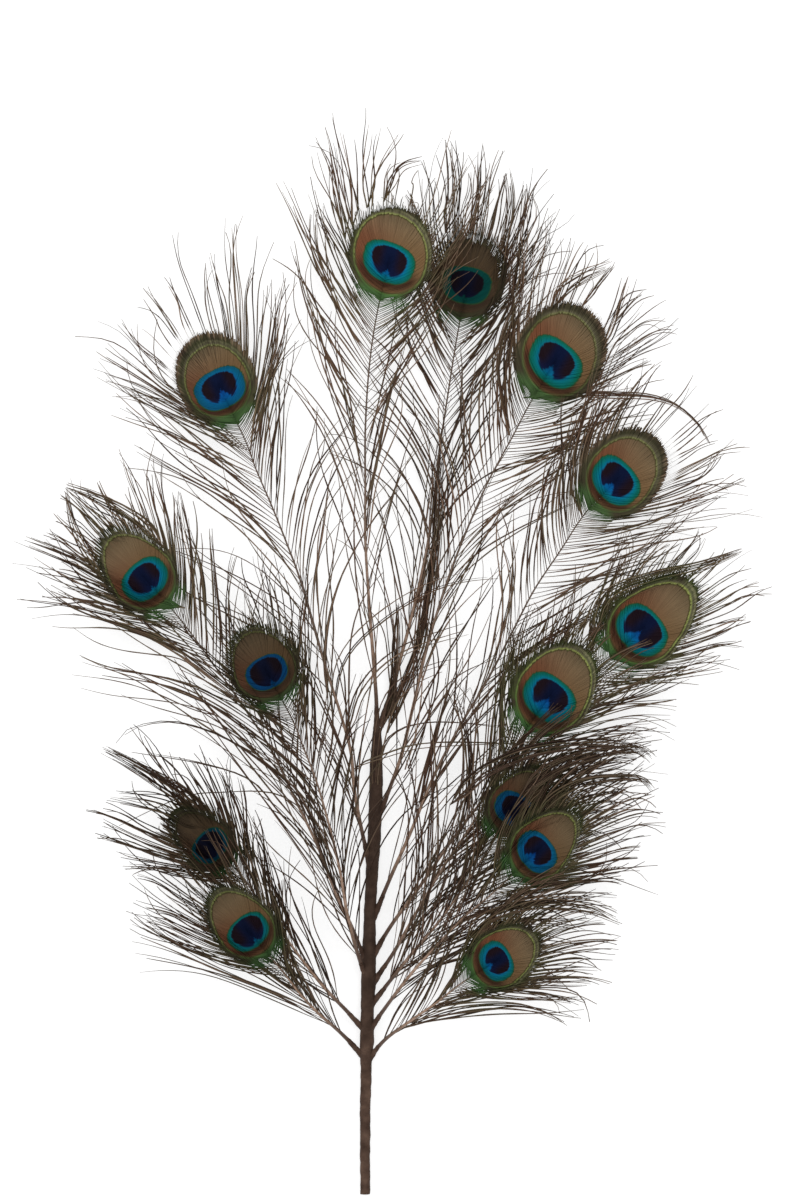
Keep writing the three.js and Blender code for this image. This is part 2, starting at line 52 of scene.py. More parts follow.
# The feathers, in millimetres and degrees.
# route: the shaft in plan. level: its height over the surface. rests: how far out it begins to come
#     down to the surface, and over what distance it does.
# left, right: the launch angle, end angle and length of that side's barbs by the eye.
# droop: how far the low barbs turn outwards. hug: how many barbs lie along the shaft.
# fringe: end angle off the eye's line and length, at its left, its top and its right.
# worn: the share of the fringe that has broken off short. matted: how far barbs cling together.
# strands: bunches that stand out, each a number of barbs, their spread at the start and at the end,
#     and their way in plan.
# ring: half width of the eye's blue ring. heart: the size of the dark heart in it. notch: how high the
#     notch reaches into the heart.
# slender, tall: how narrow the eye's bronze is, and how far it reaches above the ring. slim: how far
#     the eye narrows towards its top. lean: how far its pattern climbs to the left.
# halo: how bare the barbs are just outside the eye. halo_side: the side that the bare ones keep to, -1
#     for the left and 1 for the right. band: how much wider the dark band round the bronze is.
# green, dark: how green its barbs are near the eye, and how much it is in the others' shade.
# hue: from -1 for a green ring to 1 for a blue. murk: how far dull brown hides the eye's colours, partly its
# own worn look and partly painted shade that also darkens its ring and heart.
FEATHERS = {
    "feather_top": dict(
        level=16, ring=14.3, hug=6, droop=24, worn=0.66, matted=0.4, green=0.5, dark=0.0, hue=0.0,
        notch=-0.33, slender=1.0, lean=0.12, halo=0.3,
        left=(46, 14, 88), right=(44, 20, 80), fringe=((-38, 76), (-10, 50), (14, 68)),
        strands=[
            (6, 4, 5, [(-29, 228), (-34, 256), (-42, 289)]),
            (5, 4, 6, [(-25, 234), (-27, 267), (-33, 300)]),
            (4, 3, 5, [(-17, 244), (-17, 268), (-12, 300)]),
            (3, 3, 3, [(-15, 245), (-8, 267), (4, 289)]),
            (4, 4, 2, [(-8, 250), (1, 268), (15, 273)]),
            (3, 3, 5, [(-36, 200), (-52, 236), (-68, 270)]),
        ],
        route=[(-12, -44), (-12, -25), (-14, 3), (-16, 30), (-18, 63), (-18, 91), (-18, 124),
               (-16, 157), (-12, 186), (-5, 217)],
    ),
    "feather_right_1": dict(
        level=5, ring=13.2, hug=6, worn=0.5, matted=0.4, green=0.15, dark=0.4, hue=-1.0,
        notch=-0.45, slender=1.05, murk=0.9,
        left=(42, 10, 70), right=(40, 6, 84), fringe=((-14, 60), (-4, 52), (14, 66)),
        strands=[
            (14, 2, 2, [(-10, -44), (-3, -19), (-1, 8), (0, 30)]),
            (20, 3, 2.5, [(-6, -44), (1, -23), (8, -7), (14, 11), (21, 58), (23, 97), (25, 124)]),
            (4, 2, 9, [(6, 14), (15, 54), (21, 90), (24, 118), (20, 150)]),
            (4, 2, 8, [(8, 22), (17, 60), (25, 100), (36, 138), (50, 168)]),
            (9, 4, 2.5, [(54, 196), (58, 226), (62, 250), (60, 270)]),
            (6, 3, 3, [(62, 196), (68, 232), (72, 262)]),
            (7, 4, 3, [(26, 232), (31, 258), (29, 288)]),
            (7, 4, 6, [(40, 232), (47, 256), (50, 284)]),
        ],
        route=[(-10, -40), (-2, -14), (7, 19), (15, 54), (20, 85), (23, 113), (27, 140),
               (32, 172), (38, 205)],
    ),
    "feather_right_2": dict(
        level=10.5, ring=15.5, hug=11, worn=0.45, matted=0.4, green=0.15, dark=0.1, hue=-0.35,
        notch=-0.2, slender=1.0, tall=0.05, lean=0.1, halo=1.0, halo_side=1, band=0.08,
        left=(42, 6, 90), right=(55, 28, 84), fringe=((-20, 80), (6, 36), (30, 60)),
        rests=(90, 38),
        strands=[
            (5, 2, 1.4, [(69, 142), (91, 143), (118, 143), (140, 142), (155, 137), (166, 127), (172, 116)]),
            (8, 2.5, 4, [(62, 119), (57, 138), (54, 160), (57, 180), (66, 198), (78, 214)]),
            (7, 4, 3.5, [(112, 166), (118, 181), (124, 197), (129, 212)]),
            (9, 4.5, 3, [(84, 188), (90, 200), (102, 209), (119, 217)]),
            (5, 3, 2.5, [(100, 190), (106, 200), (112, 209), (120, 219)]),
            (5, 3, 5, [(84, 126), (101, 137), (113, 150), (124, 170), (140, 190)]),
            (3, 3, 6, [(-12, -84), (-12, -58), (-4, -23), (21, -7), (58, -2)]),
            (2, 2, 4, [(-10, -88), (-13, -64), (-6, -44), (16, -36), (60, -38)]),
        ],
        route=[(-12, -93), (-5, -75), (2, -55), (8, -30), (15, 0), (24, 31), (34, 59),
               (49, 94), (63, 120), (73, 139), (87, 162)],
    ),
    "feather_right_3": dict(
        level=21, ring=14.2, hug=16, worn=0.45, matted=0.4, green=0.2, dark=0.15, hue=0.1,
        notch=-0.15, slender=1.05, tall=0.1, lean=0.05, halo=1.0, halo_side=1, band=0.08,
        left=(42, 10, 80), right=(50, 26, 88), fringe=((-10, 55), (6, 40), (28, 70)),
        strands=[
            (8, 2.5, 4.5, [(101, 76), (98, 90), (97, 108), (101, 124), (108, 142), (116, 156)]),
            (2, 1.5, 2, [(-29, -80), (-25, -63), (-7, -55), (18, -49), (78, -47), (111, -50)]),
            (4, 4, 8, [(2, -70), (12, -40), (16, -8), (8, 26), (-8, 56)]),
        ],
        route=[(-14, -147), (-3, -120), (8, -95), (19, -68), (33, -41), (49, -14), (63, 13),
               (75, 36), (89, 57), (103, 78), (120, 96)],
    ),
    "feather_right_4": dict(
        level=26, ring=15.2, hug=14, worn=0.45, matted=0.5, green=0.8, dark=0.25, hue=0.1,
        notch=-0.1, heart=1.08, slender=1.15, tall=0.2, slim=0.1, halo=0.1,
        left=(42, 14, 78), right=(46, 34, 72), fringe=((-12, 52), (7, 38), (25, 60)),
        strands=[
            (16, 9, 1.6, [(116, 0), (110, 17), (117, 33), (139, 42), (166, 49), (190, 58)]),
        ],
        route=[(-15, -169), (-3, -148), (12, -127), (30, -101), (51, -74), (72, -50), (92, -26),
               (111, -7), (134, 14)],
    ),
    "feather_right_5": dict(
        level=31, ring=15.0, hug=14, worn=0.42, matted=0.5, green=0.8, dark=0.33, hue=0.1,
        notch=-0.05, slender=1.1, tall=0.06, slim=0.05, lean=0.05, halo=0.2,
        left=(38, 5, 80), right=(50, 46, 88), fringe=((-15, 50), (8, 20), (60, 72)),
        route=[(-15, -184), (-3, -165), (9, -143), (23, -119), (37, -98), (51, -76), (61, -59),
               (69, -43), (83, -23)],
    ),
    "feather_right_6": dict(
        level=36, ring=11.5, hug=10, worn=0.2, matted=0.8, green=0.6, dark=0.55, hue=0.6,
        notch=-0.42, slender=1.1, tall=0.1, slim=0.1, murk=0.75,
        left=(26, -26, 54), right=(34, 30, 64), fringe=((34, 44), (48, 52), (46, 62)),
        route=[(-16, -196), (-6, -182), (8, -163), (23, -145), (37, -125), (50, -105), (64, -84)],
    ),
    "feather_right_7": dict(
        level=41, ring=12.0, hug=10, worn=0.15, matted=0.8, green=0.7, dark=0.5, hue=0.5,
        notch=-0.1, slender=1.1, tall=0.2, slim=0.1, lean=0.05, murk=0.35,
        left=(30, -10, 72), right=(34, 22, 76), fringe=((6, 48), (25, 48), (34, 56)),
        strands=[
            (12, 4, 2.5, [(28, -82), (46, -64), (72, -52), (102, -48), (126, -50), (136, -56)]),
            (14, 4, 2.5, [(66, -76), (84, -62), (106, -54), (130, -51), (141, -58)]),
            (14, 4, 2, [(74, -92), (86, -78), (104, -69), (130, -67), (140, -74)]),
            (1, 1, 1, [(59, -118), (90, -116), (118, -120), (145, -132)]),
        ],
        route=[(-18, -212), (-8, -196), (5, -177), (19, -161), (35, -144), (48, -133), (58, -124),
               (76, -107)],
    ),
    "feather_right_8": dict(
        level=46, ring=11.0, hug=6, worn=0.3, matted=0.8, green=0.6, dark=0.38, hue=0.2,
        notch=-0.25, slender=1.05, tall=0.15, slim=0.05, lean=0.05,
        left=(30, -16, 68), right=(30, 32, 74), fringe=((26, 64), (30, 46), (38, 56)),
        strands=[
            (12, 4, 2.5, [(36, -158), (48, -143), (75, -135), (104, -137), (124, -145)]),
        ],
        route=[(-19, -229), (-8, -213), (7, -200), (21, -190), (35, -179), (54, -167)],
    ),
    "feather_left_1": dict(
        level=21, ring=14.2, hug=12, worn=0.5, matted=0.25, green=0.35, dark=0.18, hue=0.5,
        notch=-0.1, slender=1.04, tall=0.08, halo=1.0, halo_side=-1, band=0.12, murk=0.3,
        left=(28, 36, 100), right=(25, 40, 88), fringe=((-38, 68), (4, 62), (28, 80)),
        rests=(94, 44),
        strands=[
            (3, 3, 6, [(-36, -36), (-29, -3), (-4, 22), (29, 39), (73, 44)]),
            (3, 3, 6, [(-29, -47), (-21, -19), (1, 3), (40, 17), (73, 25)]),
            (4, 4, 8, [(-38, -30), (-40, 4), (-32, 40), (-12, 76), (12, 104)]),
        ],
        route=[(-15, -119), (-20, -97), (-24, -74), (-26, -53), (-32, -31), (-40, -6), (-47, 18),
               (-54, 42), (-61, 61), (-69, 81), (-78, 102), (-84, 118), (-98, 147)],
    ),
    "feather_left_2": dict(
        level=26, ring=13.2, hug=14, worn=0.55, matted=0.6, green=0.4, dark=0.2, hue=0.1,
        notch=-0.45, slender=1.1, tall=0.2, slim=0.08, halo=0.1, murk=0.4,
        left=(26, 34, 100), right=(36, 28, 78), fringe=((-30, 60), (0, 40), (26, 66)),
        strands=[
            (14, 3.5, 1.2, [(-128, 58), (-140, 72), (-153, 81), (-168, 88), (-183, 93)]),
            (7, 2.4, 1.8, [(-158, 36), (-168, 52), (-175, 64), (-180, 76), (-183, 92)]),
            (8, 9, 1.4, [(-146, 60), (-158, 72), (-170, 82), (-183, 92)]),
            (16, 4, 3.5, [(-117, 26), (-133, 30), (-153, 39), (-178, 52), (-210, 65)]),
            (1, 1, 1, [(-107, -10), (-123, 6), (-138, 15), (-157, 20), (-180, 24)]),
            (1, 1, 1, [(-102, -16), (-119, -3), (-137, 3), (-164, 9), (-180, 16)]),
            (1, 1, 1, [(-81, -43), (-92, -34), (-111, -23), (-134, -14), (-157, -8), (-178, 0)]),
            (1, 1, 1, [(-96, -34), (-118, -27), (-137, -20), (-158, -14), (-183, -9)]),
            (1, 1, 1, [(-75, -57), (-88, -43), (-107, -32), (-132, -25), (-157, -21), (-176, -17)]),
        ],
        route=[(-16, -176), (-25, -151), (-34, -131), (-44, -105), (-56, -80), (-69, -53),
               (-85, -28), (-102, -4), (-119, 19), (-139, 42)],
    ),
    "feather_left_3": dict(
        level=31, ring=11.5, hug=14, worn=0.65, matted=0.6, green=0.6, dark=0.6, hue=0.75,
        notch=-0.45, heart=1.14, slender=0.97, tall=0.12, slim=0.08, halo=0.2, murk=0.75,
        left=(34, 24, 62), right=(28, 8, 72), fringe=((-28, 46), (4, 38), (26, 54)),
        strands=[
            (2, 1.5, 1.5, [(-34, -130), (-54, -80), (-87, -50), (-120, -37), (-145, -40), (-154, -49)]),
            (2, 1.5, 2, [(-37, -118), (-65, -88), (-81, -70), (-107, -61), (-149, -54)]),
            (1, 1, 1, [(-41, -96), (-65, -77), (-96, -75), (-120, -78), (-156, -95)]),
        ],
        route=[(-16, -185), (-23, -162), (-28, -141), (-32, -117), (-38, -92), (-45, -68),
               (-52, -50), (-58, -35), (-72, -9)],
    ),
    "feather_left_4": dict(
        level=36, ring=10.5, hug=7, droop=22, worn=0.5, matted=0.8, green=0.4, dark=0.75, hue=0.3,
        notch=-0.5, heart=1.12, slender=1.15, tall=0.2, slim=0.1, murk=0.9,
        left=(22, 12, 66), right=(30, 20, 62), fringe=((-20, 62), (0, 58), (20, 50)),
        strands=[
            (18, 5, 2.5, [(-98, -100), (-113, -81), (-131, -69), (-147, -59), (-164, -50)]),
            (10, 6, 4, [(-104, -96), (-124, -84), (-143, -79), (-161, -76)]),
        ],
        route=[(-17, -210), (-28, -197), (-40, -183), (-54, -165), (-67, -147), (-77, -133),
               (-87, -119), (-103, -104)],
    ),
    "feather_left_5": dict(
        level=41, ring=11.8, hug=6, droop=14, worn=0.35, matted=0.7, green=0.5, dark=0.6, hue=0.1,
        notch=-0.42, heart=1.15, slender=1.12, tall=0.2, slim=0.05, halo=0.3, murk=0.2,
        left=(22, 0, 84), right=(30, 24, 60), fringe=((-18, 64), (-10, 42), (34, 42)),
        route=[(-18, -224), (-32, -208), (-44, -196), (-54, -185), (-64, -172), (-82, -151)],
    ),
}

# What a feather has unless its own entry says otherwise.
USUAL = dict(droop=42, heart=1.0, tall=0.0, slim=0.0, lean=0.0, halo=0.0, halo_side=0, band=0.0, murk=0.0,
             strands=[])
FEATHERS = {key: USUAL | entry for key, entry in FEATHERS.items()}

# Heights, in millimetres.
TAPED = 16.0  # how far up a quill the tape goes
CLIMB = 45.0  # how far from the stem a feather reaches its own level
MIDDLE = (0.0, 20.0)  # the spray is deepest here, and flattens outwards to a share of its height
FLAT_FROM, FLAT_OVER, FLAT_KEEP = 110.0, 190.0, 0.55
LOWEST_SHAFT, LOWEST_BARB = 0.45, 0.3  # no middle line of a shaft or a barb runs below these

# The eye's closed disc, in half widths of its blue ring.
EYE_BELOW, EYE_ABOVE = -1.85, 2.15  # the lowest and highest place of the edge that its barbs run to
EYE_HALF, EYE_WIDEN = 1.58, 0.16  # the edge's half width, and how much wider it is above than below
EYE_FOOT = 2.75  # how far under the ring's middle the side barbs begin
TALL_FROM = 0.5  # a tall eye is drawn out above this
DISC_MIDDLE, DISC_HALF, DISC_UP, DISC_DOWN = 0.25, 1.53, 1.8, 1.58  # the egg where they close up
DISC_POWER = 2.1

# Round the eye from its top, in degrees: where a barb's foot is, how the lowest barbs fan out, and at
# what angle a barb leaves the disc.
EYE_REACH = 152.0  # the last barb
FRINGE_SPREAD = 124.0  # past this the fringe turns into side barbs
FOOT_ROUND, FOOT_HEIGHT = (0, 30, 60, 90, 124, 152), (0.15, 0.1, -0.45, -1.1, -1.85, -2.7)
FAN_ROUND, FAN_ANGLE, FAN_LENGTH = (108, 124, 152), (54, 51, 47), 1.25
FAN_FROM, FAN_OVER = 106, 14
LEAVE_SPREAD, LEAVE_ANGLE = (0, 0.4, 0.8, 1.0, 1.22), (0, 20, 34, 42, 42)

# Barbs, in millimetres and degrees.
GAP_BY_EYE, GAP_BELOW, GAP_LOW = 1.6, 3.4, 18.0  # side barbs: how far apart, and what is added
BELOW_OVER, LOW_FROM, LOW_OVER = 70.0, 80.0, 100.0  # over what distance under the eye it is added
SIDE_CLEAR = 6.0  # how far above the tape the lowest one is
LOW_LAUNCH, LOWEST_LAUNCH = 18.0, 12.0  # how low ones and the lowest leave the shaft
DEEP_FROM, DEEP_OVER = 90.0, 80.0  # the lowest are this far under the eye
BARE_HALF, BARE_LENGTH, BARE_FADE = 0.055, 5.5, 3.0  # the bare foot of a fringe barb
TIGHT = 0.75  # the pull in a tight bunch
WILD = 90  # the most that a wild fringe barb turns away

# How finely things are built.
CURVE_STEPS = 60
BARB_STEPS = 18
EYE_STEPS = 9
EYE_BARBS = 130
BARB_STATIONS = np.linspace(0, 1, BARB_STEPS + 1)
EYE_STATIONS = 1 - (1 - np.linspace(0, 1, EYE_STEPS + 1)) ** 1.6
FRINGE_STATIONS = np.array([0, 0.03, 0.07, 0.12, 0.19, 0.28, 0.38, 0.48, 0.58, 0.68, 0.79, 0.9, 1.0])


# --- Working out shapes, in millimetres ---

def smooth(t):
    """Ease from 0 to 1: 3t^2 - 2t^3, with t kept between 0 and 1."""
    t = np.clip(t, 0.0, 1.0)
    return t * t * (3.0 - 2.0 * t)


def headed(heading):
    """Unit vectors in plan from headings, measured from +Y towards +X."""
    return np.stack([np.sin(heading), np.cos(heading)], axis=-1)


def hermite(t, start, leaving, end, arriving):
    """A smooth curve from start to end, for t from 0 to 1, with the given speeds at its two ends."""
    return ((2 * t**3 - 3 * t**2 + 1) * start + (t**3 - 2 * t**2 + t) * leaving
            + (3 * t**2 - 2 * t**3) * end + (t**3 - t**2) * arriving)


class Line:
    """A smooth line in plan: a Catmull-Rom curve through its points, read by distance along it."""

    def __init__(self, points):
        """Fine points on the curve, the distance run up to each, and the heading there."""
        p = np.array(points, float)
        p = np.vstack([2 * p[0] - p[1], p, 2 * p[-1] - p[-2]])
        t = np.linspace(0, 1, CURVE_STEPS, endpoint=False)[:, None]
        before, start, end, after = p[:-3, None], p[1:-2, None], p[2:-1, None], p[3:, None]
        curve = hermite(t, start, (end - before) / 2, end, (after - start) / 2)
        self.points = np.vstack([curve.reshape(-1, 2), p[-2]])
        steps = np.diff(self.points, axis=0)
        self.run = np.concatenate([[0], np.cumsum(np.hypot(*steps.T))])
        turn = np.unwrap(np.arctan2(steps[:, 0], steps[:, 1]))
        self.turn = np.concatenate([turn, turn[-1:]])
        self.length = self.run[-1]

    def at(self, s):
        """Places at distances along the line."""
        return np.stack([np.interp(s, self.run, self.points[:, k]) for k in (0, 1)], axis=-1)

    def heading(self, s):
        """Headings at distances along the line, from +Y towards +X."""
        return np.interp(s, self.run, self.turn)


def stem_height(y):
    """Height of the stem's middle line beside a place in plan."""
    return np.interp(y, STEM[:, 1], STEM[:, 2]) * math.cos(math.pi / 10)


def height_at(feather, p):
    """Height of a feather's vane over the surface: it climbs from the stem to its level, the spray
    flattens outwards, and a feather that rests on the surface comes down to it at its outer tips."""
    foot = np.array(feather["route"][0], float)
    low = stem_height(foot[1])
    climbed = low + (feather["level"] - low) * smooth(np.linalg.norm(p - foot, axis=-1) / CLIMB)
    outwards = smooth((np.linalg.norm(p - np.array(MIDDLE), axis=-1) - FLAT_FROM) / FLAT_OVER)
    z = climbed * (1 - (1 - FLAT_KEEP) * outwards)
    if "rests" in feather:
        start, over = feather["rests"]
        z = z * (1 - smooth((np.abs(p[..., 0]) - start) / over))
    return np.maximum(z, LOWEST_SHAFT)


def drift(count, reach, size):
    """A slowly changing random row: noise averaged over its neighbours, with the given spread."""
    row = np.convolve(rng.normal(size=count + 2 * reach), np.hanning(2 * reach + 1), "valid")[:count]
    return size * row / max(row.std(), 1e-6) if count > 1 else np.zeros(count)


def grow(root, start, end, reach, share, bend=0.0, sway=0.0, phase=0.0):
    """Paths in plan that leave their roots at one heading and turn evenly to another. bend turns the
    outer part further, and sway adds a wave: heading = start + (end - start) t + bend e(t) + sway t
    sin(2 pi (0.9 t + phase)), and the path is the running sum of the steps."""
    middle = (share[1:] + share[:-1]) / 2
    heading = start[:, None] + (end - start)[:, None] * middle
    heading = heading + bend[:, None] * smooth((middle - 0.5) / 0.5)
    heading = heading + sway[:, None] * middle * np.sin(2 * np.pi * (0.9 * middle + phase[:, None]))
    steps = headed(heading) * (reach[:, None] * np.diff(share))[..., None]
    return np.concatenate([root[:, None], root[:, None] + np.cumsum(steps, axis=1)], axis=1)


def cling(path, share, sizes, loose, chance):
    """Neighbours that cling, in bunches of the given sizes: each path is drawn towards the middle line
    of its bunch, by a pull that grows along the barb. A bunch is tight by the given chance, and
    otherwise has at most the loose pull."""
    count = len(path)
    bunch = np.repeat(np.arange(count), rng.integers(*sizes, size=count))[:count]
    middle = np.zeros((count,) + path.shape[1:])
    np.add.at(middle, bunch, path)
    middle /= np.maximum(np.bincount(bunch, minlength=count), 1)[:, None, None]
    tight = rng.uniform(size=count) < chance
    pull = np.where(tight, rng.uniform(TIGHT * 0.8, TIGHT, count), rng.uniform(0, loose, count))
    return path + (pull[bunch][:, None] * share)[..., None] * (middle[bunch] - path)


# --- Building meshes ---

def lay_over(feather, plan, lift):
    """Paths in plan laid at the feather's own height, each point lifted by its own amount."""
    z = np.maximum(height_at(feather, plan) + lift, LOWEST_BARB)
    return np.concatenate([plan, z[..., None]], axis=-1)


def strip_frames(path):
    """Along each path: the way it goes, the way to its right, and the way up from it."""
    along = np.gradient(path, axis=1)
    along /= np.maximum(np.linalg.norm(along, axis=-1, keepdims=True), 1e-9)
    right = np.cross(along, np.array([0.0, 0.0, 1.0]))
    right /= np.maximum(np.linalg.norm(right, axis=-1, keepdims=True), 1e-9)
    return along, right, np.cross(right, along)


def ridged(path, half, roll, rise):
    """Three-cornered strips: two low corners half a width to each side of the path and a ridge over
    it, turned about the path by roll. half and rise are given for each point."""
    _, right, up = strip_frames(path)
    c, s = np.cos(roll)[..., None], np.sin(roll)[..., None]
    across, over = c * right + s * up, c * up - s * right
    w, h = half[..., None], rise[..., None]
    return np.stack([path - across * w - over * h * 0.5, path + across * w - over * h * 0.5,
                     path + over * h], axis=2)


def round_tube(path, radius, sides):
    """A tube: circles carried along one path. The radius is given for each point of the path, or for
    each corner of each circle."""
    _, right, up = strip_frames(path[None])
    angle = np.arange(sides) * 2 * np.pi / sides
    radius = np.broadcast_to(radius[:, None] if radius.ndim == 1 else radius, (len(path), sides))
    ring = np.cos(angle)[:, None] * right[0][:, None] + np.sin(angle)[:, None] * up[0][:, None]
    return (path[:, None] + ring * radius[..., None])[None]


def faces_of(strips, stations, corners, base):
    """Faces of closed strips: four-cornered ones between stations, and one at each end."""
    i = np.arange(strips)[:, None, None] * stations * corners
    j = np.arange(stations - 1)[None, :, None] * corners
    k = np.arange(corners)[None, None]
    n = (k + 1) % corners
    quads = np.stack([i + j + k, i + j + corners + k, i + j + corners + n, i + j + n], axis=-1)
    start = (i[:, 0] + np.arange(corners)) + base
    end = (i[:, 0] + (stations - 1) * corners + np.arange(corners)[::-1]) + base
    return quads.reshape(-1, 4) + base, np.concatenate([start, end])


def build(name, parts, finishes):
    """One mesh object from closed strips. Each part is its corners (strips, stations, corners, 3) in
    millimetres, its marks (name: the same shape, written to the mesh as attributes), and the number of
    its finish."""
    verts, loops, sizes, slots, layers, base = [], [], [], [], {}, 0
    for corners, mark, slot in parts:
        strips, stations, around = corners.shape[:3]
        quads, caps = faces_of(strips, stations, around, base)
        loops += [quads.ravel(), caps.ravel()]
        sizes += [np.full(len(quads), 4), np.full(len(caps), around)]
        slots.append(np.full(len(quads) + len(caps), slot))
        verts.append(corners.reshape(-1, 3) * MM)
        for key, value in mark.items():
            layers.setdefault(key, []).append(np.broadcast_to(value, corners.shape).reshape(-1, 3))
        base += strips * stations * around
    verts, loops, sizes = np.concatenate(verts), np.concatenate(loops), np.concatenate(sizes)
    mesh = bpy.data.meshes.new(name)
    mesh.vertices.add(len(verts))
    mesh.vertices.foreach_set("co", verts.ravel().astype(np.float32))
    mesh.loops.add(len(loops))
    mesh.loops.foreach_set("vertex_index", loops.astype(np.int32))
    mesh.polygons.add(len(sizes))
    starts = np.concatenate([[0], np.cumsum(sizes)[:-1]])
    mesh.polygons.foreach_set("loop_start", starts.astype(np.int32))
    for material in finishes:
        mesh.materials.append(material)
    mesh.polygons.foreach_set("material_index", np.concatenate(slots).astype(np.int32))
    mesh.polygons.foreach_set("use_smooth", np.ones(len(sizes), bool))
    for key, values in layers.items():
        layer = mesh.attributes.new(key, "FLOAT_VECTOR", "POINT")
        layer.data.foreach_set("vector", np.concatenate(values).ravel().astype(np.float32))
    mesh.update(calc_edges=True)
    mesh.validate()
    piece = bpy.data.objects.new(name, mesh)
    bpy.context.scene.collection.objects.link(piece)
    return piece


# --- The feathers ---

def local_place(feather, line, p):
    """A place in plan as right of and up from the middle of the eye's ring, in half widths of the ring."""
    heading = line.heading(line.length)
    offset = (p - line.at(line.length)) / feather["ring"]
    x, y = offset @ headed(heading + np.pi / 2), offset @ headed(heading)
    return x * (1 + feather["slim"] * np.clip(y, 0, 2.5)), y


def marks_of(feather, line, corners, along, tone):
    """What the finishes read, three numbers a mark.
    eye: place right of and up from the ring's middle, in half widths of the ring, and the notch.
    barb: distance along the barb, side of its ridge, and the barb's own tone.
    vane: how green and how shaded the feather is, and how far out on the barb the place is, 0 to 1.
    cast: its hue, and how slender and how tall its eye is.
    look: how dull the eye is (its own worn brown, and painted shade on its ring and heart), the size of its
    heart, and how much wider its dark band is."""
    x, y = local_place(feather, line, corners[..., :2])
    shape = corners.shape[:3]
    side = np.array([-1.0, 1.0, 0.0]) if shape[2] == 3 else 0.0
    out = along / np.maximum(along[:, -1:], 1e-6)
    rows = {
        "eye": (x, y + feather["lean"] * x, feather["notch"]),
        "barb": (along[..., None], side, tone[:, None, None]),
        "vane": (feather["green"], feather["dark"], out[..., None]),
        "cast": (feather["hue"], feather["slender"], feather["tall"]),
        "look": (feather["murk"], feather["heart"], feather["band"]),
    }
    return {key: np.stack([np.broadcast_to(number, shape) for number in row], axis=-1)
            for key, row in rows.items()}


def barb_strips(feather, line, plan, lift, half, roll):
    """Barbs as strips with their marks, each with a tone of its own, laid at the feather's height. Their
    width changes a little from point to point, and the ridge stands up by about half of it."""
    path = lay_over(feather, plan, lift)
    tone = rng.uniform(0, 1, len(path))
    knots = 1 + 0.2 * rng.uniform(-1, 1, half.shape)
    rise = np.clip(half * 0.55, 0.09, 0.3)
    corners = ridged(path, half * knots, roll, rise)
    steps = np.linalg.norm(np.diff(path, axis=1), axis=-1)
    along = np.concatenate([np.zeros((len(path), 1)), np.cumsum(steps, axis=1)], axis=1)
    return corners, marks_of(feather, line, corners, along, tone), 0


def thickness(feather):
    """How much thicker than usual its barbs look, because they cling."""
    return 0.92 + 0.25 * feather["matted"]


def side_places(last, span):
    """Distances along the shaft of one side's barbs, from the last one down. The barbs so far add up as
    the sum of step / gap, and each barb is where that sum passes its number, give or take a little."""
    down = np.linspace(0, span, 400)
    gap = GAP_BY_EYE + GAP_BELOW * smooth(down / BELOW_OVER) + GAP_LOW * smooth((down - LOW_FROM) / LOW_OVER)
    tally = np.cumsum(down[1] / gap)
    count = int(tally[-1])
    number = (np.arange(count) + rng.uniform(0.15, 0.85, count)) * tally[-1] / count
    return last - np.interp(number, tally, down)


def side_barbs(feather, line, side):
    """The loose barbs of one side. By the eye they lean out at the launch angle and turn to the end
    angle. Lower ones leave the shaft at a small angle and droop outwards, the lowest less so. Neighbours
    drift together and cling in bunches, and a few bend their own way."""
    launch, tip, reach = feather["right" if side > 0 else "left"]
    last = line.length - EYE_FOOT * feather["ring"]
    span = last - TAPED - SIDE_CLEAR
    s = side_places(last, span)
    count, share = len(s), BARB_STATIONS
    high = (s - last) / span + 1
    low = smooth((0.95 - high) / 0.45)
    deep = smooth((last - s - DEEP_FROM) / DEEP_OVER)
    low_launch = LOW_LAUNCH - (LOW_LAUNCH - LOWEST_LAUNCH) * deep
    launch = launch + (low_launch - launch) * low
    launch = launch + drift(count, 3, 3.0) * (1 + low) + rng.normal(0, 2.5, count)
    droop = rng.normal(feather["droop"], 11, count) * (1 - 0.5 * deep)
    tip = tip + (droop - tip) * low
    tip = tip + drift(count, 4, 6.0) * (1 + low) + rng.normal(0, 4.0, count)
    start = line.heading(s) + side * DEGREE * launch
    end = line.heading(s) + side * DEGREE * tip
    reach = reach * (1.38 - 0.42 * smooth(high / 0.85))
    reach = reach * np.clip(1 + rng.normal(0, 0.08, count), 0.5, 1.12)
    wild = rng.uniform(size=count) < 0.07
    astray = rng.uniform(-75, 75, count)
    bend = np.where(wild, astray, side * (8 * low - rng.normal(4, 15, count))) * DEGREE
    sway = rng.normal(0, 12, count) * DEGREE
    plan = grow(line.at(s), start, end, reach, share, bend, sway, rng.uniform(0, 1, count))
    plan = cling(plan, smooth(share / 0.7), (1, 5), 0.2, 0.7 * feather["matted"])
    lift = (rng.normal(0, 0.9, count) + drift(count, 3, 0.7))[:, None] * smooth(share / 0.35)
    girth = rng.uniform(0.34, 0.53, count)[:, None] * thickness(feather)
    half = girth * (0.45 + 0.55 * smooth(share / 0.3)) * (1 - 0.7 * share**3)
    roll = rng.normal(0, 0.45, count)[:, None] + rng.normal(0, 0.5, count)[:, None] * share
    return barb_strips(feather, line, plan, lift, half, roll)


